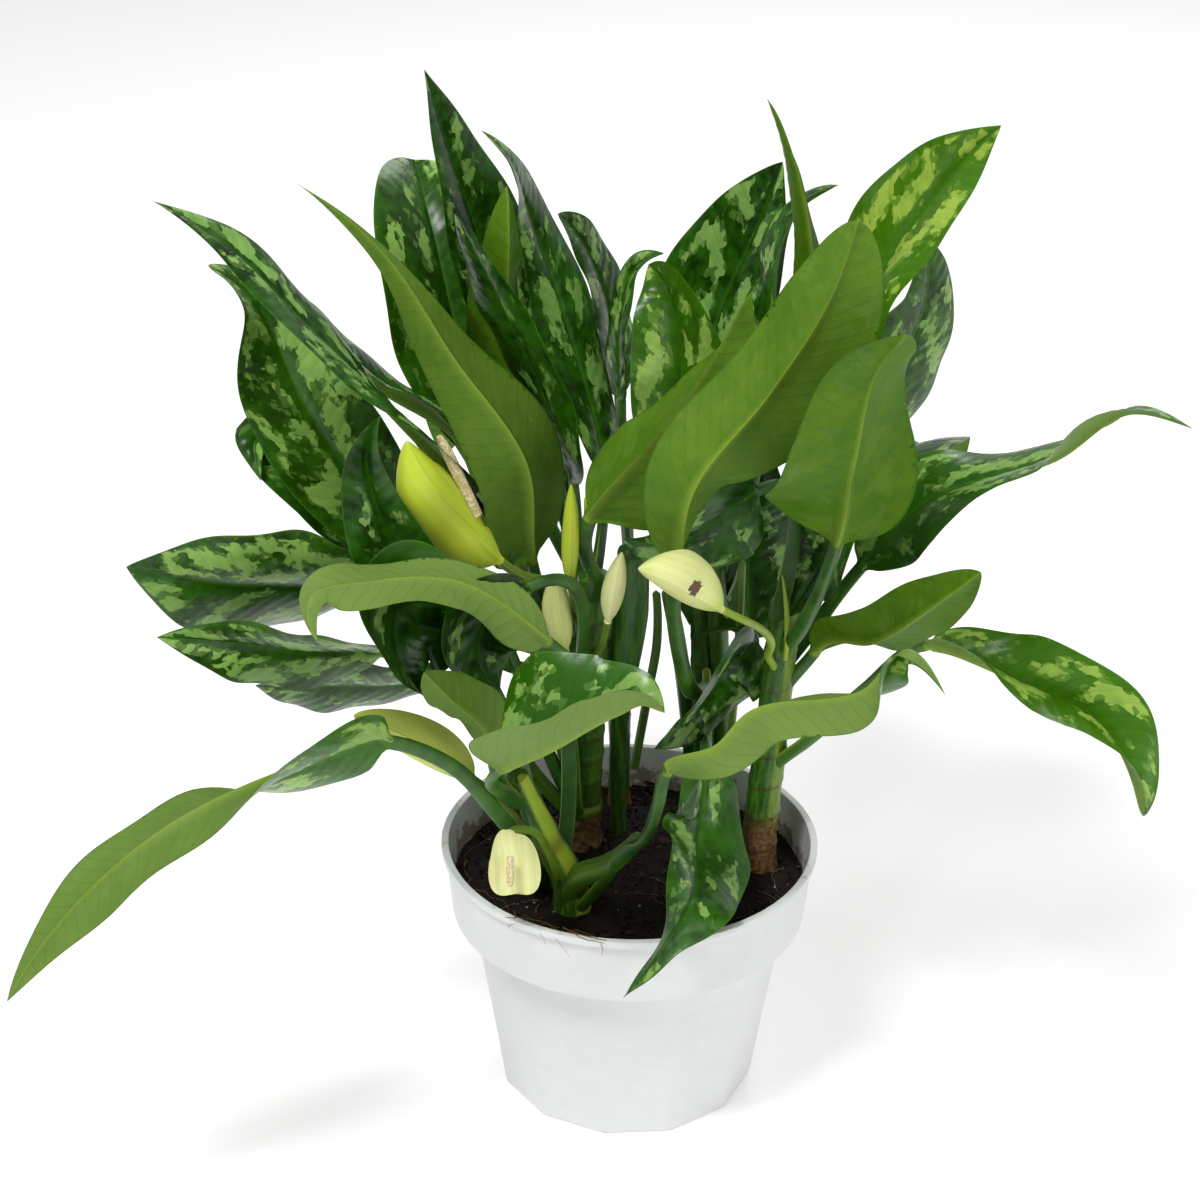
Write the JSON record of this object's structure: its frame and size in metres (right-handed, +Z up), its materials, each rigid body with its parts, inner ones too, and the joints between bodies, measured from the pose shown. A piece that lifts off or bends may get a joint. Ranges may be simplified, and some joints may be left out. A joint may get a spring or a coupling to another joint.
{
  "type": "potted chinese evergreen",
  "caption": "Bushy potted foliage plant with silver-patterned lance-shaped leaves and pale spathes, in a white plastic nursery pot with a deep collar rim.",
  "frame": {"origin": "middle of the pot's underside, on its axis", "axes": "+Z up along the pot's axis, -Y toward the side of the pot that the low front leaf hangs over, +X to the right of that view"},
  "size_m": [0.4204, 0.3258, 0.4081],
  "materials": {
    "pot_plastic": "satin white moulded polypropylene, slightly soiled inside the rim",
    "potting_mix": "damp dark peat and bark crumbs with pale perlite grains",
    "cane": "green ringed stem with brown papery leaf bases",
    "leaf": "waxy deep green upper side with silver-green patches along the side veins, matte paler underside",
    "spathe": "smooth lime to cream, with faint lengthwise veins",
    "spadix": "fine cream bumps, browning with age"
  },
  "bodies": {
    "root": {"cane_front": "cane", "cane_main": "cane", "cane_middle": "cane", "cane_rear": "cane", "cane_right": "cane", "leaf_back_1": "leaf", "leaf_back_2": "leaf", "leaf_back_3": "leaf", "leaf_center_1": "leaf", "leaf_center_2": "leaf", "leaf_center_3": "leaf", "leaf_center_4": "leaf", "leaf_front_1": "leaf", "leaf_front_2": "leaf", "leaf_front_3": "leaf", "leaf_left_1": "leaf", "leaf_left_10": "leaf", "leaf_left_11": "leaf", "leaf_left_12": "leaf", "leaf_left_2": "leaf", "leaf_left_3": "leaf", "leaf_left_4": "leaf", "leaf_left_5": "leaf", "leaf_left_6": "leaf", "leaf_left_7": "leaf", "leaf_left_8": "leaf", "leaf_left_9": "leaf", "leaf_lower_right_1": "leaf", "leaf_lower_right_2": "leaf", "leaf_lower_right_3": "leaf", "leaf_lower_right_4": "leaf", "leaf_right_1": "leaf", "leaf_right_2": "leaf", "leaf_right_3": "leaf", "leaf_right_4": "leaf", "leaf_upper_left_1": "leaf", "leaf_upper_left_2": "leaf", "leaf_upper_left_3": "leaf", "leaf_upper_left_4": "leaf", "leaf_upper_left_5": "leaf", "leaf_upper_left_6": "leaf", "leaf_upper_right_1": "leaf", "leaf_upper_right_2": "leaf", "leaf_upper_right_3": "leaf", "leaf_upper_right_4": "leaf", "leaf_upper_right_5": "leaf", "leaf_upper_right_6": "leaf", "leaf_upper_right_7": "leaf", "pot": "pot_plastic", "soil": "potting_mix", "spadix_left": "spadix", "spadix_low": "spadix", "spathe_bud_1": "spathe", "spathe_bud_2": "spathe", "spathe_bud_3": "spathe", "spathe_left": "spathe", "spathe_low": "spathe", "spathe_old": "spathe", "spathe_right": "spathe"}
  },
  "joints": []
}
